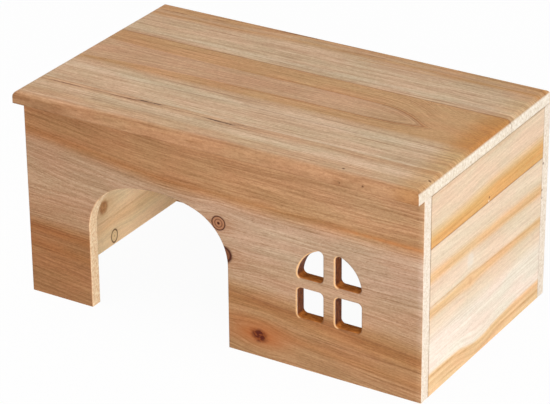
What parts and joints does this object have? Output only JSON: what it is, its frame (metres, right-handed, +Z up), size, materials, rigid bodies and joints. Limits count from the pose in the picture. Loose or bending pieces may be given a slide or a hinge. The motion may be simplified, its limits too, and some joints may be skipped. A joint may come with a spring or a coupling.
{
  "type": "hamster house",
  "caption": "Open-bottomed wooden hide for a small pet, with a flat roof, an arched doorway and an arched window divided by a crossed post and rail.",
  "frame": {"origin": "on the table, under the middle of the whole house, roof overhangs included", "axes": "+X to the right as seen from the front, -Y out of the doorway, +Z up"},
  "size_m": [0.202, 0.12, 0.1],
  "materials": {
    "roof_wood": "planed and sanded fir, unfinished",
    "front_wood": "planed and sanded fir, unfinished",
    "back_wood": "planed and sanded fir, unfinished",
    "side_wood": "planed and sanded fir, unfinished",
    "pin_steel": "bright wire"
  },
  "bodies": {
    "root": {"roof_front_stave": "roof_wood", "roof_back_stave": "roof_wood", "front_wall": "front_wood", "back_wall": "back_wood", "left_wall_upper_stave": "side_wood", "left_wall_lower_stave": "side_wood", "right_wall_upper_stave": "side_wood", "right_wall_lower_stave": "side_wood", "roof_front_pins": "pin_steel", "roof_back_pins": "pin_steel", "roof_left_pins": "pin_steel", "roof_right_pins": "pin_steel", "front_left_pins": "pin_steel", "front_right_pins": "pin_steel", "back_left_pins": "pin_steel", "back_right_pins": "pin_steel"}
  },
  "joints": []
}
